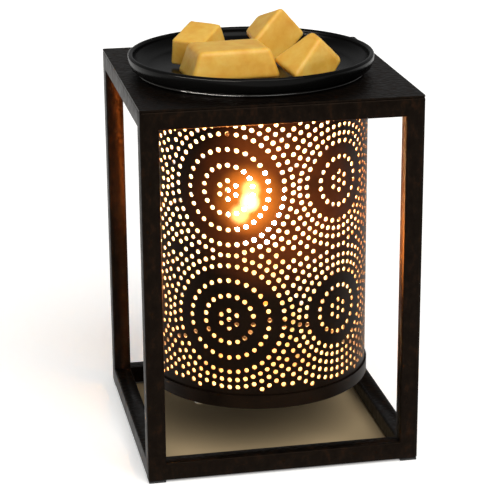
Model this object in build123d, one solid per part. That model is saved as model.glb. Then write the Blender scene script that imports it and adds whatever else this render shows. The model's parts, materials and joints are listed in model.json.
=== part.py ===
from build123d import *
from math import cos, degrees, radians, sin, tan
import os

# Electric wax warmer, lantern form. Millimetres, +Z up.
# Origin: centre of the square base, on the surface that it stands on. The front is -Y.

# Frame of square tube
frame_width = 120.0
bar = 8.0
tube_wall = 1.0
tube_corner = 0.9
foot_head = 1.0
foot_inset = 0.3
foot_stem = 7.0
panel_top = 165.6
panel_thickness = 0.8
panel_corner = 1.2
panel_hole_radius = 37.0

# Drum of perforated sheet
drum_radius = 49.5
sheet = 0.6
drum_bottom = 26.9
drum_top = 164.4
seam_angle = 184.5
seam_lap = 8.0
rivet_count = 5
rivet_radius = 1.0
rivet_head_radius = 2.0
rivet_head_height = 0.8
rivet_tail = 0.5

# Perforation: rosettes of dotted rings, six columns of two, alternately wide and close.
# To keep the part light, the holes are square, the inner two rings of each rosette are cut,
# and the second ring has every other hole.
rosette_columns = 6
first_rosette_angle = -25.45
rosette_rows = (67.3, 125.4)
rosette_rings = {"wide": ((4.0, 6), (10.8, 9)), "close": ((4.0, 6), (10.6, 9))}
hole_width = 2.0
seam_clear_angle = 7.0

# Rings, plate and fasteners of the drum
ring_thickness = 0.8
top_ring_skirt = 5.6
top_ring_inner = 41.0
stud_circle = 44.6
stud_radius = 1.5
stud_length = 5.0
stud_count = 3
nut_flats = 5.5
nut_height = 2.4
collar_radius = 50.3
collar_bottom = 26.1
collar_top = 32.4
collar_inner = 43.4
collar_edge = 0.5
base_plate_radius = 48.7
base_plate_thickness = 1.0
base_plate_rim = 5.0
plate_screw_circle = 45.8
plate_screw_count = 4

# Screws: shank radius, head radius and head height
small_screw = (1.5, 2.8, 1.7)
holder_screw = (1.9, 3.4, 2.2)
clearance = 0.2

# Lamp holder
bracket_width = 16.0
bracket_thickness = 1.2
bracket_bridge = 16.0
bracket_foot = 26.0
bracket_top = 58.6
bracket_bend = 1.2
socket_radius = 13.0
socket_neck_radius = 11.0
socket_top = 88.0
socket_bore_radius = 7.75
socket_floor = 63.6
shell_radius = 7.7
shell_wall = 0.35
gland_offset = 36.0
gland_bore_radius = 3.0
gland_neck_radius = 4.5
gland_flange_radius = 6.4
gland_tail = 6.0

# Bulb
cap_radius = 6.9
cap_bottom = 66.4
cap_top = 87.0
bulb_radius = 13.0
bulb_top = 121.0
bulb_neck_radius = 6.2
bulb_glass_wall = 0.7
filament_radius = 0.3

# Dish, which sits a little to the left of the axis
dish_offset = -2.0
dish_bottom = 165.9
dish_base_radius = 47.6
dish_rim_radius = 53.9
dish_rim_top = 174.6
dish_wall = 2.4
dish_floor_radius = 45.0
dish_floor = 168.4
dish_foot_radius = 34.2
dish_foot_depth = 2.4

# Wax melts. Each has its size, its drafts along and across, the place of its middle, and its turns
# about X, Y and Z in degrees.
wax_edge = 1.3
wax_seat = 168.75
upright_melt = ((18.4, 20.4, 12.1), (8.3, 4.8), (-24.30, 6.70, 177.39), (16.8, 2.4, -36.5))
double_melt = ((39.9, 25.5, 13.0), (19.3, 6.8), (-15.17, -18.03, 175.26), (0.0, 0.0, 4.5))
tilted_melt = ((20.3, 17.9, 17.0), (17.9, 10.6), (6.97, 6.61, 180.40), (91.0, 43.2, -159.0))
side_melt = ((19.6, 17.1, 18.8), (4.0, 14.6), (19.15, -27.56, 174.20), (19.7, 40.6, 33.5))


def ring_places(count, radius, z, start=0.0):
    """Places on a circle about the axis, each turned with its angle."""
    step = 360.0 / count
    return [Rot(0, 0, start + step * k) * Pos(radius, 0, z) for k in range(count)]


def turned(*edges):
    """A closed outline in the XZ plane, turned about the Z axis."""
    return revolve(make_face(edges), Axis.Z)


def lathe(points):
    """A turned solid from radius and height pairs joined by straight lines."""
    return turned(Polyline([(r, 0, z) for r, z in points], close=True))


def tube_length(length):
    """A square tube along Z with rounded outer corners, standing on its end."""
    outer = RectangleRounded(bar, bar, tube_corner)
    inner = Rectangle(bar - 2 * tube_wall, bar - 2 * tube_wall)
    return extrude(outer - inner, length)


def pan_screw(sizes, shank_length):
    """A pan head screw with its seat at the origin and its shank along +Z."""
    shank_radius, head_radius, head_height = sizes
    return lathe(
        [
            (0, -head_height),
            (head_radius * 0.7, -head_height),
            (head_radius, -head_height * 0.5),
            (head_radius, 0),
            (shank_radius, 0),
            (shank_radius, shank_length),
            (0, shank_length),
        ]
    )


def hex_nut(bore_radius):
    """A hexagon nut standing on the origin."""
    outline = RegularPolygon(nut_flats / 2, 6, major_radius=False) - Circle(bore_radius)
    return extrude(outline, nut_height)


def make_frame():
    """Posts, rails, panel and the plugs in the posts' lower ends."""
    parts = {}
    corner = (frame_width - bar) / 2
    post_height = panel_top - panel_thickness - foot_head
    rail_length = frame_width - 2 * bar
    low = foot_head + bar / 2
    high = panel_top - panel_thickness - bar / 2
    sides = {"front": -1, "back": 1}
    hands = {"left": -1, "right": 1}
    for side, y in sides.items():
        for hand, x in hands.items():
            post = Pos(x * corner, y * corner, foot_head) * tube_length(post_height)
            parts["post_" + side + "_" + hand] = post
    rail = Pos(0, 0, -rail_length / 2) * tube_length(rail_length)
    for level, z in {"base": low, "top": high}.items():
        for side, y in sides.items():
            parts[level + "_rail_" + side] = Pos(0, y * corner, z) * Rot(0, 90, 0) * rail
        for hand, x in hands.items():
            parts[level + "_rail_" + hand] = Pos(x * corner, 0, z) * Rot(90, 0, 0) * rail
    parts["top_panel"] = make_panel()
    plugs = [Pos(x * corner, y * corner, 0) * foot_plug() for x in (-1, 1) for y in (-1, 1)]
    parts["foot_plugs"] = Compound(plugs)
    return parts


def make_panel():
    """The flat sheet on top, with the opening that the dish's foot drops into."""
    outline = RectangleRounded(frame_width, frame_width, panel_corner) - Circle(panel_hole_radius)
    return Pos(0, 0, panel_top - panel_thickness) * extrude(outline, panel_thickness)


def foot_plug():
    """A square plug: a head that the frame stands on and a tapered stem in the tube."""
    head_width = bar - 2 * foot_inset
    stem_width = bar - 2 * tube_wall - 0.1
    head = extrude(Rectangle(head_width, head_width), foot_head)
    head = chamfer(head.edges().group_by(Axis.Z)[0], 0.25)
    stem = Pos(0, 0, foot_head) * extrude(Rectangle(stem_width, stem_width), foot_stem, taper=2.0)
    return head + stem


def make_drum():
    """The rolled sheet, perforated, then lapped and riveted down the back."""
    height = drum_top - drum_bottom
    sleeve = Circle(drum_radius) - Circle(drum_radius - sheet)
    drum = Pos(0, 0, drum_bottom) * extrude(sleeve, height)
    drum -= rosette_punches()
    drum += make_lap()
    return drum - make_rivets()


def rosette_holes():
    """The holes of every rosette, as degrees round the drum and heights."""
    column_step = 360.0 / rosette_columns
    kinds = list(rosette_rings.values())
    holes = []
    for column in range(rosette_columns):
        middle = first_rosette_angle + column_step * column
        rings = kinds[column % len(kinds)]
        for row in rosette_rows:
            holes.append((middle, row))
            for ring_radius, count in rings:
                for k in range(count):
                    way = radians(90.0 + 360.0 * k / count)
                    across = degrees(ring_radius * cos(way) / drum_radius)
                    holes.append((middle + across, row + ring_radius * sin(way)))
    return holes


def rosette_punches():
    """A punch for each hole that is clear of the seam. Angles start at the front."""
    punch = Rot(0, 90, 0) * Box(hole_width, hole_width, 4 * sheet)
    punches = []
    for angle, height in rosette_holes():
        from_seam = (angle - seam_angle + 180.0) % 360.0 - 180.0
        if abs(from_seam) > seam_clear_angle:
            punches.append(Rot(0, 0, angle - 90) * Pos(drum_radius, 0, height) * punch)
    return punches


def make_lap():
    """The sheet's outer end, which lies over its inner end."""
    outer = drum_radius + sheet
    half = radians(seam_angle - 90) - seam_lap / drum_radius / 2
    turn = seam_lap / drum_radius
    first = (cos(half), sin(half))
    last = (cos(half + turn), sin(half + turn))
    middle = (cos(half + turn / 2), sin(half + turn / 2))

    def along(radius, way):
        return (radius * way[0], radius * way[1])

    inner = drum_radius - sheet / 2
    edges = [
        ThreePointArc(along(outer, first), along(outer, middle), along(outer, last)),
        Line(along(outer, last), along(inner, last)),
        ThreePointArc(along(inner, last), along(inner, middle), along(inner, first)),
        Line(along(inner, first), along(outer, first)),
    ]
    strip = extrude(make_face(edges), drum_top - collar_top)
    return Pos(0, 0, collar_top) * strip


def make_rings():
    """The ring that the drum hangs from and the collar that closes its lower edge."""
    under_panel = panel_top - panel_thickness
    inside = drum_radius - sheet
    top_ring = lathe(
        [
            (inside, under_panel),
            (top_ring_inner, under_panel),
            (top_ring_inner, under_panel - ring_thickness),
            (inside - ring_thickness, under_panel - ring_thickness),
            (inside - ring_thickness, under_panel - top_ring_skirt),
            (inside, under_panel - top_ring_skirt),
        ]
    )
    collar = lathe(
        [
            (drum_radius, collar_top),
            (collar_radius, collar_top),
            (collar_radius, collar_bottom + collar_edge),
            (collar_radius - collar_edge, collar_bottom),
            (collar_inner, collar_bottom),
            (collar_inner, drum_bottom),
            (drum_radius, drum_bottom),
        ]
    )
    return top_ring, collar


def make_base_plate():
    """The pan that closes the drum's lower end."""
    low = drum_bottom
    return lathe(
        [
            (0, low),
            (base_plate_radius, low),
            (base_plate_radius, low + base_plate_rim),
            (base_plate_radius - base_plate_thickness, low + base_plate_rim),
            (base_plate_radius - base_plate_thickness, low + base_plate_thickness),
            (0, low + base_plate_thickness),
        ]
    )


def make_shade():
    """Everything of the drum, with its fasteners."""
    parts = {"shade_drum": make_drum()}
    top_ring, collar = make_rings()
    plate = make_base_plate()
    under_panel = panel_top - panel_thickness
    stud_places = ring_places(stud_count, stud_circle, under_panel, 30)
    stud_hole = Cylinder(stud_radius + clearance, 20)
    parts["shade_top_ring"] = top_ring - [place * stud_hole for place in stud_places]
    stud = Cylinder(stud_radius, stud_length, align=(Align.CENTER, Align.CENTER, Align.MAX))
    parts["shade_studs"] = Compound([place * stud for place in stud_places])
    nut = Pos(0, 0, -ring_thickness - nut_height) * hex_nut(stud_radius)
    parts["shade_nuts"] = Compound([place * nut for place in stud_places])
    screw_places = ring_places(plate_screw_count, plate_screw_circle, collar_bottom, 45)
    shank = small_screw[0]
    collar_hole = Cylinder(shank + clearance, 3)
    parts["shade_bottom_collar"] = collar - [place * collar_hole for place in screw_places]
    plate -= [place * Cylinder(shank, 8) for place in screw_places]
    plate -= Pos(0, gland_offset, drum_bottom) * Cylinder(gland_neck_radius, 6)
    bracket_hole = Cylinder(shank + clearance / 2, 8)
    plate -= [place * bracket_hole for place in bracket_screw_places(drum_bottom)]
    parts["base_plate"] = plate
    screw = pan_screw(small_screw, 4.6)
    parts["base_plate_screws"] = Compound([place * screw for place in screw_places])
    parts["shade_seam_rivets"] = make_rivets()
    return parts


def rivet_heights():
    """Heights of the rivets, evenly down the seam."""
    low = collar_top + 8.0
    high = drum_top - 12.0
    return [low + (high - low) * k / (rivet_count - 1) for k in range(rivet_count)]


def make_rivets():
    """Rivets with a bevelled head outside the seam and a short tail inside the sheet."""
    outside = drum_radius + sheet
    tail = drum_radius - sheet - rivet_tail
    rivet = lathe(
        [
            (0, tail),
            (rivet_radius, tail),
            (rivet_radius, outside),
            (rivet_head_radius, outside),
            (rivet_head_radius * 0.6, outside + rivet_head_height),
            (0, outside + rivet_head_height),
        ]
    )
    aim = Rot(0, 0, seam_angle - 90) * Rot(0, 90, 0)
    return Compound([Pos(0, 0, z) * aim * rivet for z in rivet_heights()])


def bracket_screw_places(z):
    """The two screws that hold the lamp bracket down."""
    return [Pos(x * (bracket_foot - 4.5), 0, z) for x in (-1, 1)]


def make_bracket():
    """A strip folded into a bridge, standing on the base plate."""
    half = bracket_thickness / 2
    low = drum_bottom + base_plate_thickness + half
    high = bracket_top - half
    middle = [(-bracket_foot, low), (-bracket_bridge, low), (-bracket_bridge, high)]
    middle += [(-x, z) for x, z in reversed(middle)]

    def side(way):
        inset = half * way
        points = []
        for x, z in middle:
            outward = -1 if x < 0 else 1
            edge = abs(x) > bracket_bridge
            points.append((x if edge else x + outward * inset, z + inset))
        return points

    inner_bend, outer_bend = bracket_bend, bracket_bend + bracket_thickness
    top = FilletPolyline(side(1), radius=[inner_bend, outer_bend, outer_bend, inner_bend])
    under = FilletPolyline(side(-1), radius=[outer_bend, inner_bend, inner_bend, outer_bend])
    left = Line(top @ 0, under @ 0)
    right = Line(top @ 1, under @ 1)
    strip = make_face([top, left, under, right])
    bracket = extrude(Plane.XZ * strip, bracket_width / 2, both=True)
    screw_hole = Cylinder(small_screw[0] + clearance, 10)
    bracket -= [place * screw_hole for place in bracket_screw_places(low)]
    bracket -= Pos(0, 0, bracket_top) * Cylinder(holder_screw[0] + 1.5 * clearance, 8)
    return bracket


def make_holder():
    """The bracket and the screw lamp holder on it."""
    parts = {"lamp_bracket": make_bracket()}
    foot_top = drum_bottom + base_plate_thickness + bracket_thickness
    screw = pan_screw(small_screw, foot_top - drum_bottom + nut_height + 0.6)
    places = bracket_screw_places(drum_bottom)
    parts["bracket_screws"] = Compound([place * screw for place in places])
    nuts = bracket_screw_places(foot_top)
    parts["bracket_nuts"] = Compound([place * hex_nut(small_screw[0]) for place in nuts])
    body = lathe(
        [
            (0, bracket_top),
            (socket_neck_radius - 1, bracket_top),
            (socket_neck_radius, bracket_top + 1),
            (socket_neck_radius, bracket_top + 5),
            (socket_radius, bracket_top + 7),
            (socket_radius, socket_top - 4),
            (socket_radius - 0.8, socket_top - 3.2),
            (socket_radius - 0.8, socket_top - 0.8),
            (socket_radius - 1.6, socket_top),
            (socket_bore_radius, socket_top),
            (socket_bore_radius, socket_floor),
            (0, socket_floor),
        ]
    )
    parts["socket_body"] = body - Pos(0, 0, bracket_top) * Cylinder(holder_screw[0], 6)
    parts["socket_shell"] = make_socket_shell()
    parts["centre_contact"] = make_centre_contact()
    parts["socket_terminals"] = make_terminals()
    under_bridge = Pos(0, 0, bracket_top - bracket_thickness)
    parts["socket_screw"] = under_bridge * pan_screw(holder_screw, 4.1)
    parts["cord_gland"] = make_gland()
    return parts


def make_socket_shell():
    """The thin threaded shell, with its flared mouth."""
    inner = shell_radius - shell_wall
    low = socket_floor + 1.6
    high = socket_top - 2.0
    return lathe(
        [
            (shell_radius, low),
            (shell_radius, high),
            (inner, high),
            (inner, low + shell_wall),
            (5.0, low + shell_wall),
            (5.0, low),
        ]
    )


def make_centre_contact():
    """A brass strip on the holder's floor with its end bent up under the bulb."""
    strip = Pos(-1.0, 0, socket_floor + 0.25) * Box(9.0, 3.0, 0.5)
    tongue = Pos(0, 0, socket_floor + 0.9) * Box(3.2, 3.0, 0.5)
    riser = Pos(1.35, 0, socket_floor + 0.6) * Box(0.5, 3.0, 1.1)
    return strip + tongue + riser


def make_terminals():
    """Two push-on tabs on the holder's sides."""
    tab = Box(7.0, 4.8, 0.8) - Pos(1.6, 0, 0) * Cylinder(0.7, 2)
    reach = socket_neck_radius + 3.5
    height = bracket_top + 3.0
    tabs = [Rot(0, 0, 90 * way) * Pos(reach, 0, height) * tab for way in (-1, 1)]
    return Compound(tabs)


def make_gland():
    """The grooved bushing in the base plate that the supply cord leaves by."""
    plate_top = drum_bottom + base_plate_thickness
    profile = [
        (gland_bore_radius, plate_top + 1.6),
        (gland_flange_radius, plate_top + 1.6),
        (gland_flange_radius, plate_top),
        (gland_neck_radius, plate_top),
        (gland_neck_radius, drum_bottom),
        (gland_flange_radius, drum_bottom),
        (gland_flange_radius, drum_bottom - 1.2),
        (gland_neck_radius, drum_bottom - 1.8),
        (gland_neck_radius - 0.3, drum_bottom - gland_tail),
        (gland_bore_radius, drum_bottom - gland_tail),
    ]
    return Pos(0, gland_offset, 0) * lathe(profile)


def make_bulb():
    """A small frosted bulb: screw cap, insulator, contact, glass, stem and filament."""
    cap = lathe(
        [
            (4.2, cap_bottom),
            (cap_radius - 0.9, cap_bottom + 1.2),
            (cap_radius, cap_bottom + 2.4),
            (cap_radius, cap_top - 3.4),
            (cap_radius + 0.2, cap_top - 3.0),
            (cap_radius + 0.2, cap_top),
            (cap_radius - 0.3, cap_top),
            (cap_radius - 0.3, cap_bottom + 2.6),
            (4.2, cap_bottom + 0.8),
        ]
    )
    insulator = lathe(
        [
            (0, cap_bottom - 0.5),
            (2.4, cap_bottom - 0.5),
            (4.2, cap_bottom),
            (4.2, cap_bottom + 0.8),
            (0, cap_bottom + 0.8),
        ]
    )
    contact = lathe(
        [
            (0, cap_bottom - 1.2),
            (1.4, cap_bottom - 1.0),
            (2.2, cap_bottom - 0.5),
            (0, cap_bottom - 0.5),
        ]
    )
    parts = {"bulb_cap": cap, "bulb_insulator": insulator, "bulb_contact": contact}
    parts["bulb_glass"] = make_glass()
    stem_low = cap_top - 6.0
    parts["bulb_stem"] = lathe(
        [
            (0, stem_low),
            (4.6, stem_low),
            (4.6, stem_low + 0.8),
            (2.4, stem_low + 3.5),
            (1.5, stem_low + 6.0),
            (1.5, stem_low + 14.0),
            (0, stem_low + 14.0),
        ]
    )
    parts["bulb_filament"] = make_filament(stem_low + 14.0)
    return parts


def make_glass():
    """The envelope: a neck in the cap, a flare, a short cylinder and a dome."""
    neck_low = cap_top - 5.0
    shoulder = bulb_top - bulb_radius

    def outline(inset):
        neck = bulb_neck_radius - inset
        wide = bulb_radius - inset
        top = bulb_top - inset
        flare = Spline(
            [(neck, 0, cap_top), (wide, 0, shoulder - 8.0)],
            tangents=[(0, 0, 1), (0, 0, 1)],
        )
        return [
            Line((neck, 0, neck_low), (neck, 0, cap_top)),
            flare,
            Line((wide, 0, shoulder - 8.0), (wide, 0, shoulder)),
            CenterArc((0, 0, 0), wide, 0, 90).moved(Pos(0, 0, shoulder) * Rot(90, 0, 0)),
            top,
        ]

    *outer, outer_top = outline(0)
    *inner, inner_top = outline(bulb_glass_wall)
    closing = [
        Line((0, 0, inner_top), (0, 0, outer_top)),
        Line((bulb_neck_radius - bulb_glass_wall, 0, neck_low), (bulb_neck_radius, 0, neck_low)),
    ]
    return turned(*outer, *inner, *closing)


def make_filament(stem_top):
    """Two lead wires and the filament between them, as one bent wire."""
    path = Polyline(
        [
            (-0.8, 0, stem_top),
            (-0.8, 0, stem_top + 3.0),
            (-6.0, 0, stem_top + 9.0),
            (6.0, 0, stem_top + 9.0),
            (0.8, 0, stem_top + 3.0),
            (0.8, 0, stem_top),
        ]
    )
    section = Plane(origin=path @ 0, z_dir=path % 0) * RegularPolygon(filament_radius, 6)
    return sweep(section, path, transition=Transition.RIGHT)


def make_dish():
    """A shallow dish with a rounded rim and a foot ring that drops into the panel."""
    rim_inner = dish_rim_radius - dish_wall
    rim_middle = dish_rim_top - dish_wall / 2
    foot_low = dish_bottom - dish_foot_depth
    outline = [
        Line((0, 0, dish_floor - 0.4), (0, 0, dish_bottom + 0.2)),
        Line((0, 0, dish_bottom + 0.2), (dish_foot_radius - 3.0, 0, dish_bottom + 0.2)),
        Line((dish_foot_radius - 3.0, 0, dish_bottom + 0.2), (dish_foot_radius - 2.4, 0, foot_low)),
        Line((dish_foot_radius - 2.4, 0, foot_low), (dish_foot_radius, 0, foot_low)),
        Line((dish_foot_radius, 0, foot_low), (dish_foot_radius, 0, dish_bottom)),
        Line((dish_foot_radius, 0, dish_bottom), (dish_base_radius, 0, dish_bottom)),
        ThreePointArc(
            (dish_base_radius, 0, dish_bottom),
            (dish_rim_radius - 1.7, 0, dish_bottom + 2.8),
            (dish_rim_radius, 0, rim_middle),
        ),
        ThreePointArc(
            (dish_rim_radius, 0, rim_middle),
            (dish_rim_radius - dish_wall / 2, 0, dish_rim_top),
            (rim_inner, 0, rim_middle),
        ),
        ThreePointArc(
            (rim_inner, 0, rim_middle),
            (rim_inner - 2.0, 0, dish_floor + 1.4),
            (dish_floor_radius, 0, dish_floor),
        ),
        Line((dish_floor_radius, 0, dish_floor), (0, 0, dish_floor - 0.4)),
    ]
    return Pos(dish_offset, 0, 0) * turned(*outline)


def melt(size, drafts, place, turns):
    """A moulded melt that narrows upwards, turned about X, Y, then Z and slumped flat on the dish."""
    length, width, height = size
    length_draft, width_draft = drafts
    top_length = length - 2 * height * tan(radians(length_draft))
    top_width = width - 2 * height * tan(radians(width_draft))
    base = Pos(0, 0, -height / 2) * Rectangle(length, width)
    top = Pos(0, 0, height / 2) * Rectangle(top_length, top_width)
    block = loft([base, top])
    block = chamfer(block.edges(), wax_edge)
    about_x, about_y, about_z = turns
    block = Pos(*place) * Rot(0, 0, about_z) * Rot(0, about_y, 0) * Rot(about_x, 0, 0) * block
    dish_width = 2 * dish_rim_radius
    above_floor = Box(dish_width, dish_width, dish_width, align=(Align.CENTER, Align.CENTER, Align.MIN))
    return block & Pos(0, 0, wax_seat) * above_floor


def make_wax():
    """The four melts in the dish."""
    return {
        "wax_upright": melt(*upright_melt),
        "wax_double": melt(*double_melt),
        "wax_tilted": melt(*tilted_melt),
        "wax_side": melt(*side_melt),
    }


def main():
    parts = {}
    parts.update(make_frame())
    parts.update(make_shade())
    parts.update(make_holder())
    parts.update(make_bulb())
    parts["dish"] = make_dish()
    parts.update(make_wax())
    os.makedirs("parts", exist_ok=True)
    for name, shape in parts.items():
        export_step(shape, "parts/" + name + ".step")
        print(name, "solids", len(shape.solids()))


main()
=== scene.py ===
import json
from math import cos, hypot, pi, radians, sin, tan

import bmesh
import bpy
from mathutils import Euler, Matrix, Vector
from mathutils.geometry import delaunay_2d_cdt


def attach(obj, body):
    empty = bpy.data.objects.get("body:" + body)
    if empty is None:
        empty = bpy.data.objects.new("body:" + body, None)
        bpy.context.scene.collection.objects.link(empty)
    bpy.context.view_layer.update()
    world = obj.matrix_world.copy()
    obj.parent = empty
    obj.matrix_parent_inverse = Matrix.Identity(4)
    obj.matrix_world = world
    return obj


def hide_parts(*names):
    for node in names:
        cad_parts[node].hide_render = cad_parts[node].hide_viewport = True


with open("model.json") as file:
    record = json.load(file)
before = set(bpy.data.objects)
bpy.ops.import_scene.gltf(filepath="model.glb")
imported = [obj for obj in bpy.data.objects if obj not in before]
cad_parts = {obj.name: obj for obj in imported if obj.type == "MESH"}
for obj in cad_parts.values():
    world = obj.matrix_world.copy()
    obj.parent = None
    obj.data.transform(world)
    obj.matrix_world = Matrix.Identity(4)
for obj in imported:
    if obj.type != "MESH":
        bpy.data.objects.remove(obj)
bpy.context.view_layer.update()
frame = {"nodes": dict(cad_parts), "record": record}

mm = 0.001               # sizes in the dictionaries are millimetres, unless a note says metres
nodes = frame["nodes"]


# Small helpers

def linearHex(code):
    channels = [int(code[i:i + 2], 16) / 255 for i in (1, 3, 5)]
    linear = [c / 12.92 if c <= 0.04045 else ((c + 0.055) / 1.055) ** 2.4 for c in channels]
    return (*linear, 1.0)


def cells(size):
    # the scale that draws a pattern's cells this many millimetres across
    return 1 / (size * mm)


def addNode(tree, kind, settings=None, values=None, links=None):
    node = tree.nodes.new("ShaderNode" + kind)
    for name, value in (settings or {}).items():
        setattr(node, name, value)
    # a mix node has its sockets once for each kind of data, and only those in use are switched on
    sockets = {socket.name: socket for socket in node.inputs if socket.enabled}
    for socket, value in (values or {}).items():
        (node.inputs[socket] if isinstance(socket, int) else sockets[socket]).default_value = value
    for socket, source in (links or {}).items():
        tree.links.new(source, node.inputs[socket] if isinstance(socket, int) else sockets[socket])
    return node


def newMaterial(name, values):
    material = bpy.data.materials.new(name)
    material.use_nodes = True
    shader = material.node_tree.nodes["Principled BSDF"]
    for socket, value in values.items():
        shader.inputs[socket].default_value = value
    return material, material.node_tree, shader


def setRamp(ramp, stops):
    elements = ramp.color_ramp.elements
    while len(elements) < len(stops):
        elements.new(0.5)
    for element, (place, colour) in zip(elements, stops):
        element.position = place
        element.color = colour


def addPiece(name, bm, materials, body, replaced):
    mesh = bpy.data.meshes.new(name)
    bm.to_mesh(mesh)
    bm.free()
    piece = bpy.data.objects.new(name, mesh)
    bpy.context.scene.collection.objects.link(piece)
    for material in materials:
        mesh.materials.append(material)
    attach(piece, body)
    if replaced:
        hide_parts(*replaced)
    return piece


def applyModifiers(piece):
    graph = bpy.context.evaluated_depsgraph_get()
    final = bpy.data.meshes.new_from_object(piece.evaluated_get(graph))
    piece.modifiers.clear()
    piece.data = final


def spinProfile(points, steps, centre):
    # turns radius and height pairs, in millimetres, about a vertical axis
    bm = bmesh.new()
    verts = [bm.verts.new((centre[0] * mm + r * mm, centre[1] * mm, z * mm)) for r, z in points]
    edges = [bm.edges.new(pair) for pair in zip(verts, verts[1:])]
    bmesh.ops.spin(bm, geom=verts + edges, cent=(centre[0] * mm, centre[1] * mm, 0), axis=(0, 0, 1),
                   angle=2 * pi, steps=steps, use_merge=True)
    bmesh.ops.remove_doubles(bm, verts=bm.verts[:], dist=0.002 * mm)
    bmesh.ops.recalc_face_normals(bm, faces=bm.faces[:])
    return bm


def arcPoints(centre, radius, start, end, count):
    # points on an arc, from one angle to another in degrees
    turns = [radians(start + (end - start) * k / count) for k in range(count + 1)]
    return [(centre[0] + radius * cos(a), centre[1] + radius * sin(a)) for a in turns]


def smoothPiece(piece, angle):
    # soft shading, but for edges sharper than this many degrees
    piece.data.shade_smooth()
    piece.data.set_sharp_from_angle(angle=radians(angle))


# Camera, floor and lights

cameraLook = {
    "place": (-159.02, -786.12, 350.96),     # millimetres from the middle of the base
    "right": (0.98045409, -0.19665952, -0.00590053),
    "up": (0.06786483, 0.30988886, 0.94834765),
    "lens": 134.5,
    "clipEnd": 20.0,                         # metres
}


def addCamera(look):
    camera = bpy.data.objects.new("camera", bpy.data.cameras.new("camera"))
    right, up = Vector(look["right"]), Vector(look["up"])
    turn = Matrix((right, up, right.cross(up))).transposed()
    camera.matrix_world = Matrix.Translation(Vector(look["place"]) * mm) @ turn.to_4x4()
    camera.data.lens = look["lens"]
    camera.data.clip_end = look["clipEnd"]
    bpy.context.scene.collection.objects.link(camera)
    bpy.context.scene.camera = camera


studio = {
    "air": 0.27,                    # the room's even light, also what the metal mirrors
    "skylight": {"from": (0.15, -0.8, 0.87), "strength": 2.5, "angle": 50, "colour": "#fffdf9"},
    # a strip that falls on the dish alone, for the highlight along its bead
    "softboxes": {
        # place, aim, width and height in metres, watts, colour
        "leftStrip": ((-0.95, -0.75, 0.5), (0, 0, 0.17), (1.5, 0.08), 36.0, "#fff8ee"),
    },
    # the lamp's flare as the camera sees it, thrown on the sheet alone
    "flareFrom": (-110, -560, 270),     # millimetres
    "flareRadius": 1.0,                 # millimetres
    "flares": {
        # aim in millimetres, cone in degrees, watts, colour
        "wideFlare": ((-1.0, -49.5, 121.0), 9.0, 270.0, "#ff9a48"),
        "coreFlare": ((-12.8, -47.8, 121.2), 3.5, 1200.0, "#ffae42"),
        "highCrescent": ((-12.0, -48.0, 126.0), 1.0, 3600.0, "#ffdca0"),
        "middleCrescent": ((-12.6, -47.9, 120.4), 1.0, 8000.0, "#ffe8bc"),
        "lowCrescent": ((-16.6, -46.6, 115.0), 1.0, 4600.0, "#ffdca0"),
    },
    # the lamp's light on the frame, once it has come through the holes
    "lampGlow": {"place": (0, 0, 65), "radius": 12.0, "watts": 2.9, "cone": 180, "colour": "#ff8c38",
                 "stoppedBy": ["weldedFrame", "glazedDish", "top_panel", "shade_top_ring"]},
}

tableLook = {
    "colour": "#fafaf9",
    "lift": 0.36,                   # makes the open table white to the eye and to what mirrors it
    "paintedShadeColour": "#b09b78",       # painted shade and painted lamp light: the table under the part, darkened and warmed in its colour
    "paintedShadeEdge": (0.054, 0.06),     # metres from the middle, over which the painted shade runs into the white
    "radius": 8.0,                  # metres
    "sides": 64,
}


def aimed(place, target):
    direction = Vector(target) - Vector(place)
    return Matrix.Translation(place) @ direction.to_track_quat("-Z", "Y").to_matrix().to_4x4()


def addLamp(name, kind, place, target, colour, settings):
    light = bpy.data.lights.new(name, kind)
    light.color = linearHex(colour)[:3]
    for setting, value in settings.items():
        setattr(light, setting, value)
    lamp = bpy.data.objects.new(name, light)
    lamp.matrix_world = aimed(place, target)
    bpy.context.scene.collection.objects.link(lamp)
    return lamp


def makeTablePaper(look):
    # matt white paper, with a warm shade painted into its colour beneath the part
    material, tree, shader = newMaterial("tablePaper", {
        "Roughness": 0.9, "Specular IOR Level": 0.2, "Emission Color": (1, 1, 1, 1)})
    spot = addNode(tree, "SeparateXYZ", links={"Vector": addNode(tree, "TexCoord").outputs["Object"]})
    across = addNode(tree, "Math", {"operation": "ABSOLUTE"}, links={0: spot.outputs["X"]})
    along = addNode(tree, "Math", {"operation": "ABSOLUTE"}, links={0: spot.outputs["Y"]})
    away = addNode(tree, "Math", {"operation": "MAXIMUM"}, links={0: across.outputs[0], 1: along.outputs[0]})
    inner, outer = look["paintedShadeEdge"]
    # the painted shade's mask: nought under the part, one on the open table
    clear = addNode(tree, "MapRange", {"interpolation_type": "SMOOTHSTEP"},
                    {"From Min": inner, "From Max": outer}, {"Value": away.outputs[0]})
    tone = addNode(tree, "Mix", {"data_type": "RGBA"},
                   {"A": linearHex(look["paintedShadeColour"]), "B": linearHex(look["colour"])},
                   {"Factor": clear.outputs["Result"]})
    tree.links.new(tone.outputs["Result"], shader.inputs["Base Color"])
    ray = addNode(tree, "LightPath")
    mirrored = addNode(tree, "Math", {"operation": "MAXIMUM"},
                       links={0: ray.outputs["Is Glossy Ray"], 1: ray.outputs["Is Transmission Ray"]})
    seen = addNode(tree, "Math", {"operation": "MAXIMUM"},
                   links={0: ray.outputs["Is Camera Ray"], 1: mirrored.outputs[0]})
    # no lift where the shade is painted, so that it stays dark
    opened = addNode(tree, "Math", {"operation": "MULTIPLY"},
                     links={0: seen.outputs[0], 1: clear.outputs["Result"]})
    lift = addNode(tree, "Math", {"operation": "MULTIPLY"}, {1: look["lift"]}, {0: opened.outputs[0]})
    tree.links.new(lift.outputs[0], shader.inputs["Emission Strength"])
    return material


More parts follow.
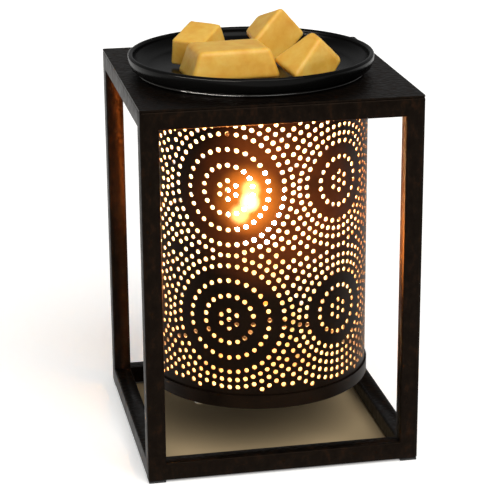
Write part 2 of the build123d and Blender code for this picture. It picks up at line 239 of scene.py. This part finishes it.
def addTable(look):
    bm = bmesh.new()
    bmesh.ops.create_circle(bm, cap_ends=True, radius=look["radius"], segments=look["sides"])
    mesh = bpy.data.meshes.new("table")
    bm.to_mesh(mesh)
    bm.free()
    mesh.materials.append(makeTablePaper(look))
    table = bpy.data.objects.new("table", mesh)
    bpy.context.scene.collection.objects.link(table)


def addStudio(look):
    world = bpy.data.worlds.new("studioAir")
    world.use_nodes = True
    world.node_tree.nodes["Background"].inputs["Color"].default_value = (1, 1, 1, 1)
    world.node_tree.nodes["Background"].inputs["Strength"].default_value = look["air"]
    bpy.context.scene.world = world

    sky = look["skylight"]
    addLamp("skylight", "SUN", sky["from"], (0, 0, 0), sky["colour"],
            {"energy": sky["strength"], "angle": radians(sky["angle"])})
    for name, (place, target, (width, height), watts, colour) in look["softboxes"].items():
        addLamp(name, "AREA", place, target, colour,
                {"shape": "RECTANGLE", "size": width, "size_y": height, "energy": watts})
    for name, (target, cone, watts, colour) in look["flares"].items():
        addLamp(name, "SPOT", Vector(look["flareFrom"]) * mm, Vector(target) * mm, colour,
                {"energy": watts, "spot_size": radians(cone), "spot_blend": 1.0,
                 "shadow_soft_size": look["flareRadius"] * mm})


def lightOnly(piece, lamps):
    # these lamps fall on the one piece and on nothing else
    lit = bpy.data.collections.new(piece + "Light")
    lit.objects.link(bpy.data.objects[piece])
    for name in lamps:
        bpy.data.objects[name].light_linking.receiver_collection = lit


def addLampGlow(look):
    # it fans upwards from the lamp holder; the perforated sheet doesn't stop it, and the pieces named do
    place = Vector(look["place"]) * mm
    lamp = addLamp("lampGlow", "SPOT", place, place + Vector((0, 0, 1)), look["colour"],
                   {"energy": look["watts"], "shadow_soft_size": look["radius"] * mm,
                    "spot_size": radians(look["cone"]), "spot_blend": 1.0})
    walls = bpy.data.collections.new("lampGlowWalls")
    for name in look["stoppedBy"]:
        walls.objects.link(bpy.data.objects[name])
    lamp.light_linking.blocker_collection = walls


bpy.context.scene.view_settings.view_transform = "Standard"
addCamera(cameraLook)
addTable(tableLook)
addStudio(studio)
print("camera, table and lights are in")


# Materials

def makeBronzePaint():
    # hammered bronze spray paint on steel: near black, with dimples that sparkle copper brown near the lamp
    material, tree, shader = newMaterial("hammeredBronzePaint", {
        "IOR": 1.5, "Specular IOR Level": 0.07, "Specular Tint": linearHex("#ffd8bc")})
    place = addNode(tree, "TexCoord").outputs["Object"]
    # flecks drawn out along the height
    stretch = addNode(tree, "Mapping", values={"Scale": (1.0, 1.0, 0.55)}, links={"Vector": place})
    flecks = addNode(tree, "TexNoise", values={"Scale": cells(3.03), "Detail": 5.0, "Roughness": 0.62},
                     links={"Vector": stretch.outputs["Vector"]})
    tone = addNode(tree, "ValToRGB", links={"Fac": flecks.outputs["Fac"]})
    setRamp(tone, [(0.38, linearHex("#060403")), (0.55, linearHex("#0d0906")), (0.72, linearHex("#1f120a"))])
    tree.links.new(tone.outputs["Color"], shader.inputs["Base Color"])
    # the hammer finish's dimples
    dimples = addNode(tree, "TexVoronoi", {"feature": "SMOOTH_F1"},
                      {"Scale": cells(2.083), "Smoothness": 0.7}, {"Vector": place})
    bump = addNode(tree, "Bump", values={"Strength": 0.5, "Distance": 0.35 * mm},
                   links={"Height": dimples.outputs["Distance"]})
    tree.links.new(bump.outputs["Normal"], shader.inputs["Normal"])
    gloss = addNode(tree, "MapRange", links={"Value": flecks.outputs["Fac"]},
                    values={"From Min": 0.35, "From Max": 0.7, "To Min": 0.34, "To Max": 0.5})
    tree.links.new(gloss.outputs["Result"], shader.inputs["Roughness"])
    return material


def makeDrumPaint():
    # the same paint, thinner and smoother on sheet: an even dark brown
    material, tree, shader = newMaterial("bronzePaintOnSheet", {
        "Roughness": 0.45, "IOR": 1.5, "Specular IOR Level": 0.06, "Specular Tint": linearHex("#ffd2ae")})
    place = addNode(tree, "TexCoord").outputs["Object"]
    cloud = addNode(tree, "TexNoise", values={"Scale": cells(16.67), "Detail": 6.0, "Roughness": 0.6},
                    links={"Vector": place})
    tone = addNode(tree, "ValToRGB", links={"Fac": cloud.outputs["Fac"]})
    setRamp(tone, [(0.35, linearHex("#0b0705")), (0.65, linearHex("#160e08"))])
    tree.links.new(tone.outputs["Color"], shader.inputs["Base Color"])
    # spray grain, drawn several times as coarse as it is so that it shows
    grain = addNode(tree, "TexNoise", values={"Scale": cells(1.111), "Detail": 3.0}, links={"Vector": place})
    bump = addNode(tree, "Bump", values={"Strength": 0.1, "Distance": 0.05 * mm},
                   links={"Height": grain.outputs["Fac"]})
    tree.links.new(bump.outputs["Normal"], shader.inputs["Normal"])
    return material


def makeDrumLining():
    # heat resistant pale enamel on the lamp's side of the sheet, which throws the light out
    material, tree, shader = newMaterial("paleStoveEnamel", {"Roughness": 0.5})
    place = addNode(tree, "TexCoord").outputs["Object"]
    cloud = addNode(tree, "TexNoise", values={"Scale": cells(22.2), "Detail": 4.0}, links={"Vector": place})
    tone = addNode(tree, "ValToRGB", links={"Fac": cloud.outputs["Fac"]})
    setRamp(tone, [(0.3, linearHex("#e6dccb")), (0.7, linearHex("#f4eddf"))])
    tree.links.new(tone.outputs["Color"], shader.inputs["Base Color"])
    return material


def makePanPaint():
    # the base pan: pale enamel on the lamp's side, which faces up, and bronze paint underneath
    material, tree, shader = newMaterial("enamelledBasePan", {"Roughness": 0.5})
    facing = addNode(tree, "SeparateXYZ", links={"Vector": addNode(tree, "NewGeometry").outputs["Normal"]})
    upward = addNode(tree, "Math", {"operation": "GREATER_THAN"}, {1: 0.5}, {0: facing.outputs["Z"]})
    tone = addNode(tree, "Mix", {"data_type": "RGBA"}, {"A": linearHex("#1c130d"), "B": linearHex("#ece3d3")},
                   {"Factor": upward.outputs["Value"]})
    tree.links.new(tone.outputs["Result"], shader.inputs["Base Color"])
    return material


def makeDishGlaze():
    # black ceramic glaze: deep and glossy, with a faint orange peel
    material, tree, shader = newMaterial("blackDishGlaze", {
        "Base Color": linearHex("#050505"), "IOR": 1.5, "Specular IOR Level": 0.07})
    place = addNode(tree, "TexCoord").outputs["Object"]
    peel = addNode(tree, "TexNoise", values={"Scale": cells(3.846), "Detail": 2.0}, links={"Vector": place})
    bump = addNode(tree, "Bump", values={"Strength": 0.08, "Distance": 0.1 * mm},
                   links={"Height": peel.outputs["Fac"]})
    tree.links.new(bump.outputs["Normal"], shader.inputs["Normal"])
    cloud = addNode(tree, "TexNoise", values={"Scale": cells(25.0), "Detail": 3.0}, links={"Vector": place})
    gloss = addNode(tree, "MapRange", values={"To Min": 0.17, "To Max": 0.3},
                    links={"Value": cloud.outputs["Fac"]})
    tree.links.new(gloss.outputs["Result"], shader.inputs["Roughness"])
    return material


def makeBeadGlaze():
    # the same glaze where it has run to a thick glassy bead
    material, tree, shader = newMaterial("pooledDishGlaze", {
        "Roughness": 0.1, "IOR": 1.5, "Specular IOR Level": 1.0})
    place = addNode(tree, "TexCoord").outputs["Object"]
    cloud = addNode(tree, "TexNoise", values={"Scale": cells(16.67), "Detail": 3.0}, links={"Vector": place})
    tone = addNode(tree, "ValToRGB", links={"Fac": cloud.outputs["Fac"]})
    setRamp(tone, [(0.3, linearHex("#060606")), (0.7, linearHex("#121110"))])
    tree.links.new(tone.outputs["Color"], shader.inputs["Base Color"])
    return material


def makeWax():
    # soy and paraffin wax melts: honey yellow, soft to the light, with a faint bloom
    material, tree, shader = newMaterial("honeyWax", {
        "Roughness": 0.42, "IOR": 1.44, "Subsurface Weight": 0.35, "Subsurface Scale": 3.0 * mm,
        "Subsurface Radius": (1.0, 0.55, 0.2)})
    place = addNode(tree, "TexCoord").outputs["Object"]
    cloud = addNode(tree, "TexNoise", values={"Scale": cells(9.09), "Detail": 5.0, "Roughness": 0.6},
                    links={"Vector": place})
    tone = addNode(tree, "ValToRGB", links={"Fac": cloud.outputs["Fac"]})
    setRamp(tone, [(0.3, linearHex("#e5a63a")), (0.5, linearHex("#eeba4e")), (0.72, linearHex("#f5cc66"))])
    tree.links.new(tone.outputs["Color"], shader.inputs["Base Color"])
    # the bloom's bumps
    skin = addNode(tree, "TexNoise", values={"Scale": cells(2.381), "Detail": 4.0}, links={"Vector": place})
    bump = addNode(tree, "Bump", values={"Strength": 0.12, "Distance": 0.2 * mm},
                   links={"Height": skin.outputs["Fac"]})
    tree.links.new(bump.outputs["Normal"], shader.inputs["Normal"])
    return material


def makeLitGlass():
    # frosted lamp glass, lit: the frosting spreads the filament's light over the whole bulb
    return newMaterial("litFrostedGlass", {
        "Base Color": linearHex("#fff0d8"), "Roughness": 0.6, "Emission Color": linearHex("#ffc784"),
        "Emission Strength": 215.0})[0]


def makePlainFinish(name, colour, speckle, roughness, metallic):
    # what the small hardware shares: a colour with a little cloud in it, and a fine grain
    material, tree, shader = newMaterial(name, {"Metallic": metallic, "Roughness": roughness})
    place = addNode(tree, "TexCoord").outputs["Object"]
    cloud = addNode(tree, "TexNoise", values={"Scale": cells(11.11), "Detail": 4.0}, links={"Vector": place})
    tone = addNode(tree, "ValToRGB", links={"Fac": cloud.outputs["Fac"]})
    setRamp(tone, [(0.35, linearHex(colour)), (0.7, linearHex(speckle))])
    tree.links.new(tone.outputs["Color"], shader.inputs["Base Color"])
    grain = addNode(tree, "TexNoise", values={"Scale": cells(1.4286), "Detail": 2.0}, links={"Vector": place})
    bump = addNode(tree, "Bump", values={"Strength": 0.08, "Distance": 0.05 * mm},
                   links={"Height": grain.outputs["Fac"]})
    tree.links.new(bump.outputs["Normal"], shader.inputs["Normal"])
    return material


def makeFilament():
    # coiled tungsten wire at working heat: a thread of orange white light
    return newMaterial("hotTungsten", {
        "Base Color": linearHex("#ffb45e"), "Emission Color": linearHex("#ffb45e"),
        "Emission Strength": 60.0})[0]


plainFinishes = {
    # colour, speckle, roughness, metallic
    "zincPlate": ("#cfcdc4", "#dedcd3", 0.5, 1.0),                 # bright passivated: pale grey and satin
    "stampedBrass": ("#b98c45", "#cfa35c", 0.35, 1.0),             # yellow, with a soft sheen
    "nickelPlate": ("#b9b5ab", "#cdc9bf", 0.25, 1.0),              # warm grey and bright
    "sprayedHoleEdge": ("#4c4034", "#5a4d40", 0.5, 0.0),           # a rim where paint and enamel thin out
    "steatite": ("#d9d3c4", "#e6e1d4", 0.6, 0.0),                  # pressed and unglazed: matt cream
    "mouldedBlackPlastic": ("#141414", "#1c1c1c", 0.5, 0.0),       # satin from the mould
    "blackGlassInsulator": ("#0c0c10", "#15151a", 0.2, 0.0),       # fused: glossy, with a blue cast
}

bronzePaint = makeBronzePaint()
drumPaint = makeDrumPaint()
drumLining = makeDrumLining()
panPaint = makePanPaint()
dishGlaze = makeDishGlaze()
beadGlaze = makeBeadGlaze()
honeyWax = makeWax()
litGlass = makeLitGlass()
hotTungsten = makeFilament()
plain = {name: makePlainFinish(name, *look) for name, look in plainFinishes.items()}
print("materials are ready")


# The frame: square tube, welded and ground flush

bars = {
    "low": 1.0,               # above the foot plugs
    "high": 164.8,
    "half": 60.0,             # from the middle to an outer face
    "width": 8.0,
    "edge": 0.9,              # radius of the tubes' corners
    "tubes": ["post_front_left", "post_front_right", "post_back_left", "post_back_right",
              "base_rail_front", "base_rail_back", "base_rail_left", "base_rail_right",
              "top_rail_front", "top_rail_back", "top_rail_left", "top_rail_right"],
}


def makeFrame():
    # a box with a window cut in each side, then its walls thickened inwards to the width of the tube
    low, high, half, width = bars["low"], bars["high"], bars["half"], bars["width"]
    bm = bmesh.new()
    bmesh.ops.create_cube(bm, size=1.0, matrix=Matrix.Translation((0, 0, (low + high) / 2))
                          @ Matrix.Diagonal((2 * half, 2 * half, high - low, 1)))
    cuts = [(axis, side * (half - width)) for axis in (0, 1) for side in (-1, 1)]
    for axis, place in cuts + [(2, low + width), (2, high - width)]:
        way = Vector([1.0 if axis == k else 0.0 for k in range(3)])
        bmesh.ops.bisect_plane(bm, geom=bm.verts[:] + bm.edges[:] + bm.faces[:], dist=1e-5,
                               plane_co=way * place, plane_no=way)
    windows = [face for face in bm.faces if face.calc_area() > half * half]
    bmesh.ops.delete(bm, geom=windows, context="FACES")
    bmesh.ops.recalc_face_normals(bm, faces=bm.faces[:])
    bmesh.ops.solidify(bm, geom=bm.faces[:], thickness=width)
    bmesh.ops.remove_doubles(bm, verts=bm.verts[:], dist=0.01)
    bmesh.ops.dissolve_degenerate(bm, dist=0.001, edges=bm.edges[:])
    bmesh.ops.recalc_face_normals(bm, faces=bm.faces[:])
    corners = [edge for edge in bm.edges if edge.is_convex and edge.calc_face_angle() > radians(30)]
    bmesh.ops.bevel(bm, geom=corners, offset=bars["edge"], segments=3, profile=0.5,
                    affect="EDGES", material=-1)
    bmesh.ops.scale(bm, vec=(mm, mm, mm), verts=bm.verts[:])
    piece = addPiece("weldedFrame", bm, [bronzePaint], "warmer", bars["tubes"])
    smoothPiece(piece, 50)


makeFrame()
print("frame is welded")


# The drum: a flat sheet with its holes, rolled up

drum = {
    "radius": 49.5,
    "sheet": 0.6,
    "bottom": 26.9,
    "top": 164.4,
    "borderSteps": (90, 40),  # points along each level edge, and up each end
    "seam": 184.5,            # degrees from the front, towards +X
    "seamClear": 5.5,         # how far every hole stays from the seam
    "lap": 8.0,
    "lapLow": 32.5,
    "lapGap": 0.03,
    "holeRadius": 1.0,
    "holeSides": 12,
    "pitch": 3.0,             # no two holes are nearer than this
    "low": 35.0,              # the lowest and the highest hole
    "high": 157.6,
    "lowRow": 67.3,
    "rowGap": 58.1,
    "firstColumn": -25.45,    # degrees from the front
    "columns": 6,
    # radius and hole count of each ring, for the two kinds of rosette, and how far each kind's disc reaches
    "rings": (
        [(0, 1), (4.0, 6), (10.8, 18), (17.7, 28), (24.4, 40), (28.2, 50)],
        [(0, 1), (4.0, 6), (10.6, 18), (17.5, 28), (20.9, 40)],
    ),
    "field": (
        [(31.6, 54), (35.1, 60), (38.6, 66), (42.1, 72)],
        [(24.5, 44), (28.0, 50), (31.6, 54), (35.1, 60), (38.6, 66), (42.1, 72)],
    ),
    "disc": (30.2, 23.2),
}
drumTurn = 2 * pi * drum["radius"]


def around(s):
    # a place along the sheet, brought to within half a turn of the middle
    return (s + drumTurn / 2) % drumTurn - drumTurn / 2


def rosettes():
    # place along the sheet, height and kind of each, two to a column
    start = radians(drum["firstColumn"]) * drum["radius"]
    gap = drumTurn / drum["columns"]
    return [(start + column * gap, drum["lowRow"] + row * drum["rowGap"], column % 2)
            for column in range(drum["columns"]) for row in (0, 1)]


def ringHoles(centre, radius, count):
    # the first is straight above the centre
    turns = [pi / 2 + 2 * pi * k / count for k in range(count)]
    return [(centre[0] + radius * cos(a), centre[1] + radius * sin(a)) for a in turns]


def isNear(a, b, reach):
    return abs(a[1] - b[1]) < reach and hypot(around(a[0] - b[0]), a[1] - b[1]) < reach


def holePlaces():
    # rings from the smallest up; the field rings stay out of every rosette's disc, and a hole that would
    # crowd an earlier one is left out
    centres = rosettes()
    own = sorted((r, n, kind, True) for kind in (0, 1) for r, n in drum["rings"][kind])
    field = sorted((r, n, kind, False) for kind in (0, 1) for r, n in drum["field"][kind])
    seam = radians(drum["seam"]) * drum["radius"]
    holes = []
    for radius, count, kind, isOwn in own + field:
        fresh = []
        for centre in (c for c in centres if c[2] == kind):
            for hole in ringHoles(centre, radius, count):
                if not drum["low"] <= hole[1] <= drum["high"]:
                    continue
                if not isOwn and any(isNear(hole, c, drum["disc"][c[2]]) for c in centres):
                    continue
                if not any(isNear(hole, other, drum["pitch"]) for other in holes):
                    fresh.append(hole)
        # where two rings of a kind meet, two holes become one between them
        while fresh:
            hole = fresh.pop()
            twin = next((other for other in fresh if isNear(hole, other, drum["pitch"])), None)
            if twin:
                fresh.remove(twin)
                hole = (hole[0] + around(twin[0] - hole[0]) / 2, (hole[1] + twin[1]) / 2)
            holes.append(hole)
    return [(around(s - seam), z) for s, z in holes if abs(around(s - seam)) > drum["seamClear"]]


def makeDrum():
    # drawn flat, half a turn either way from the line opposite the seam
    half = drumTurn / 2
    low, high = drum["bottom"], drum["top"]
    across, upward = drum["borderSteps"]
    border = [(-half + drumTurn * k / across, low) for k in range(across)]
    border += [(half, low + (high - low) * k / upward) for k in range(upward)]
    border += [(half - drumTurn * k / across, high) for k in range(across)]
    border += [(-half, high - (high - low) * k / upward) for k in range(upward)]
    points = [Vector(p) for p in border]
    outlines = [list(range(len(points)))]
    # the holes are counted from the seam, and the sheet's middle is opposite it
    for s, z in holePlaces():
        centre = (around(s + half), z)
        first = len(points)
        points += [Vector(p) for p in ringHoles(centre, drum["holeRadius"], drum["holeSides"])]
        outlines.append(list(range(first, len(points))))
    spots, _, faces, _, _, owners = delaunay_2d_cdt(points, [], outlines, 1, 1e-5)
    bm = bmesh.new()
    seam = radians(drum["seam"])
    verts = []
    for s, z in spots:
        a = seam + pi + s / drum["radius"]
        verts.append(bm.verts.new((drum["radius"] * sin(a) * mm, -drum["radius"] * cos(a) * mm, z * mm)))
    for face, owner in zip(faces, owners):
        if owner == [0]:
            bm.faces.new([verts[k] for k in face])
    bmesh.ops.remove_doubles(bm, verts=bm.verts[:], dist=0.01 * mm)
    bmesh.ops.recalc_face_normals(bm, faces=bm.faces[:])
    looks = [drumPaint, drumLining, plain["sprayedHoleEdge"]]
    piece = addPiece("drumSheet", bm, looks, "warmer", ["shade_drum"])
    wall = piece.modifiers.new("wall", "SOLIDIFY")
    wall.thickness = drum["sheet"] * mm
    wall.offset = -1
    wall.material_offset = 1
    wall.material_offset_rim = 2
    applyModifiers(piece)
    smoothPiece(piece, 40)
    return piece


def makeLap():
    # the sheet's outer end, which lies over the inner one and is riveted to it
    turn = drum["lap"] / drum["radius"]
    start = radians(drum["seam"]) - turn / 2
    radius = drum["radius"] + drum["lapGap"]
    bm = bmesh.new()
    verts = [bm.verts.new((radius * sin(start) * mm, -radius * cos(start) * mm, z * mm))
             for z in (drum["lapLow"], drum["top"])]
    edge = bm.edges.new(verts)
    bmesh.ops.spin(bm, geom=verts + [edge], cent=(0, 0, 0), axis=(0, 0, 1), angle=turn, steps=6)
    outside = Vector((0, 1, 0))     # the seam is at the back
    if bm.faces[:][0].normal.dot(outside) < 0:
        bmesh.ops.reverse_faces(bm, faces=bm.faces[:])
    piece = addPiece("seamLap", bm, [drumPaint], "warmer", [])
    wall = piece.modifiers.new("wall", "SOLIDIFY")
    wall.thickness = drum["sheet"] * mm
    wall.offset = 1
    applyModifiers(piece)
    smoothPiece(piece, 40)


drumPiece = makeDrum()
makeLap()
print("drum has", len(drumPiece.data.polygons), "faces")


# The dish: a shallow glazed bowl with a foot ring

dish = {
    "centre": (-2.0, 0.0),
    "steps": 160,
    "floor": 168.4,
    "bottom": 165.9,
    "rim": (52.7, 173.4),     # radius and height of the lip's middle
    "lip": 1.188,             # how far it is rounded
    "bead": (49.5, 166.46),   # a thin roll of glaze where the wall meets the base, which catches the light
    "beadRadius": 0.5,
    "beadZone": (49.1, 166.0, 167.05),      # from this radius outwards, between these heights
    # the rest of the section, as steps outwards and upwards from the axis or from the lip's middle
    "fromFloor": [(0, -0.4), (20, -0.36), (38, -0.2), (45, 0.1), (48.4, 1.1), (51.3, 3.1)],
    "insideRim": [(-1.2, -0.4)],
    "outsideRim": [(0.95, -2.0), (0.1, -4.3), (-1.6, -5.8), (-3.0, -6.32)],
    "fromBottom": [(47.6, 0.02), (34.8, 0.02), (34.15, -0.4), (34.1, -2.0), (33.7, -2.38), (32.0, -2.38),
                   (31.7, -1.9), (31.2, -0.1), (30.6, 0.2), (0, 0.2)],
}


def stepsFrom(place, steps):
    return [(place[0] + out, place[1] + up) for out, up in steps]


def makeDish():
    # from the middle of the floor outwards, over the lip and back along the underside
    profile = stepsFrom((0, dish["floor"]), dish["fromFloor"])
    profile += stepsFrom(dish["rim"], dish["insideRim"])
    profile += arcPoints(dish["rim"], dish["lip"], 180, 0, 8)
    profile += stepsFrom(dish["rim"], dish["outsideRim"])
    profile += arcPoints(dish["bead"], dish["beadRadius"], 70, -90, 6)
    profile += stepsFrom((0, dish["bottom"]), dish["fromBottom"])
    bm = spinProfile(profile, dish["steps"], dish["centre"])
    middle = Vector(dish["centre"]) * mm
    inner, low, high = [size * mm for size in dish["beadZone"]]
    for face in bm.faces:
        spot = face.calc_center_median()
        isBead = low < spot.z < high and (spot.xy - middle).length > inner
        face.material_index = 1 if isBead else 0
    piece = addPiece("glazedDish", bm, [dishGlaze, beadGlaze], "dish", ["dish"])
    smoothPiece(piece, 50)


makeDish()
print("dish is turned")


# The wax: moulded melts with soft edges, slumped flat where they meet the warm dish

melts = {
    "edge": 1.9,              # how far the mould's soft corners reach
    "seat": 168.75,           # the height at which a melt that reaches the dish is flat
    "grain": 0.45,            # size of the cells that the shape is redrawn in
    "relaxSteps": 5,
    "hollowSize": 9.0,
    "waviness": 0.35,         # from hollow to hump
    "waveLevel": 0.6,         # the share of it that goes inwards
    "blocks": {
        # size, drafts along and across, middle, turns about X, Y and Z
        "upright": ((18.4, 20.4, 12.1), (8.3, 4.8), (-24.3, 6.7, 177.39), (16.8, 2.4, -36.5)),
        "double": ((39.9, 25.5, 13.0), (19.3, 6.8), (-15.17, -18.03, 175.26), (0.0, 0.0, 4.5)),
        "tilted": ((21.2, 18.6, 17.6), (17.9, 10.6), (7.7, 7.3, 179.8), (91.0, 43.2, -159.0)),
        "side": ((21.2, 18.5, 20.0), (4.0, 14.6), (18.8, -27.5, 174.3), (19.7, 40.6, 33.5)),
    },
}


def makeMelt(name, size, drafts, middle, turns):
    # a block that narrows upwards, turned to how it lies, and cut where it would reach into the dish
    bm = bmesh.new()
    bmesh.ops.create_cube(bm, size=1.0)
    for vert in bm.verts:
        rise = (vert.co.z + 0.5) * size[2]
        for axis in (0, 1):
            vert.co[axis] *= size[axis] - 2 * rise * tan(radians(drafts[axis]))
        vert.co.z *= size[2]
    turn = Euler([radians(angle) for angle in turns], "XYZ").to_matrix().to_4x4()
    bm.transform(Matrix.Diagonal((mm, mm, mm, 1)) @ Matrix.Translation(middle) @ turn)
    floor = bmesh.ops.bisect_plane(bm, geom=bm.verts[:] + bm.edges[:] + bm.faces[:], dist=1e-7,
                                   plane_co=(0, 0, melts["seat"] * mm), plane_no=(0, 0, 1), clear_inner=True)
    cutEdges = [g for g in floor["geom_cut"] if isinstance(g, bmesh.types.BMEdge)]
    if any(edge.is_boundary for edge in cutEdges):
        bmesh.ops.contextual_create(bm, geom=cutEdges)
    bmesh.ops.bevel(bm, geom=bm.edges[:], offset=melts["edge"] * mm, segments=4, profile=0.5,
                    affect="EDGES", material=-1, clamp_overlap=True)
    bmesh.ops.recalc_face_normals(bm, faces=bm.faces[:])
    piece = addPiece(name + "Melt", bm, [honeyWax], "melt_" + name, ["wax_" + name])
    remesh = piece.modifiers.new("grain", "REMESH")
    remesh.mode = "VOXEL"
    remesh.voxel_size = melts["grain"] * mm
    relax = piece.modifiers.new("relax", "SMOOTH")
    relax.factor = 0.5
    relax.iterations = melts["relaxSteps"]
    clouds = bpy.data.textures.new(name + "Clouds", "CLOUDS")
    clouds.noise_scale = melts["hollowSize"] * mm
    hollows = piece.modifiers.new("hollows", "DISPLACE")
    hollows.texture = clouds
    hollows.strength = melts["waviness"] * mm
    hollows.mid_level = melts["waveLevel"]
    applyModifiers(piece)
    piece.data.shade_smooth()
    return piece


for meltName, block in melts["blocks"].items():
    melt = makeMelt(meltName, *block)
    print(melt.name, "has", len(melt.data.polygons), "faces")


# Finishes of the solids that stay as they are

finishes = {
    "frame_bronze": bronzePaint,
    "shade_bronze": drumPaint,
    "plug_plastic": plain["mouldedBlackPlastic"],
    "zinc_plate": plain["zincPlate"],
    "socket_ceramic": plain["steatite"],
    "contact_brass": plain["stampedBrass"],
    "cap_nickel": plain["nickelPlate"],
    "bulb_glass": litGlass,
    "bulb_insulator": plain["blackGlassInsulator"],
    "filament": hotTungsten,
    "dish_glaze": dishGlaze,
    "wax": honeyWax,
}

for part in frame["record"]["subparts"]:
    solid = nodes[part["node"]]
    solid.data.materials.clear()
    solid.data.materials.append(finishes[part["material_slot"]])
nodes["base_plate"].data.materials[0] = panPaint
print("finishes are on")

lightOnly("drumSheet", studio["flares"])
lightOnly("glazedDish", studio["softboxes"])
addLampGlow(studio["lampGlow"])
print("the lamp's glow is on")
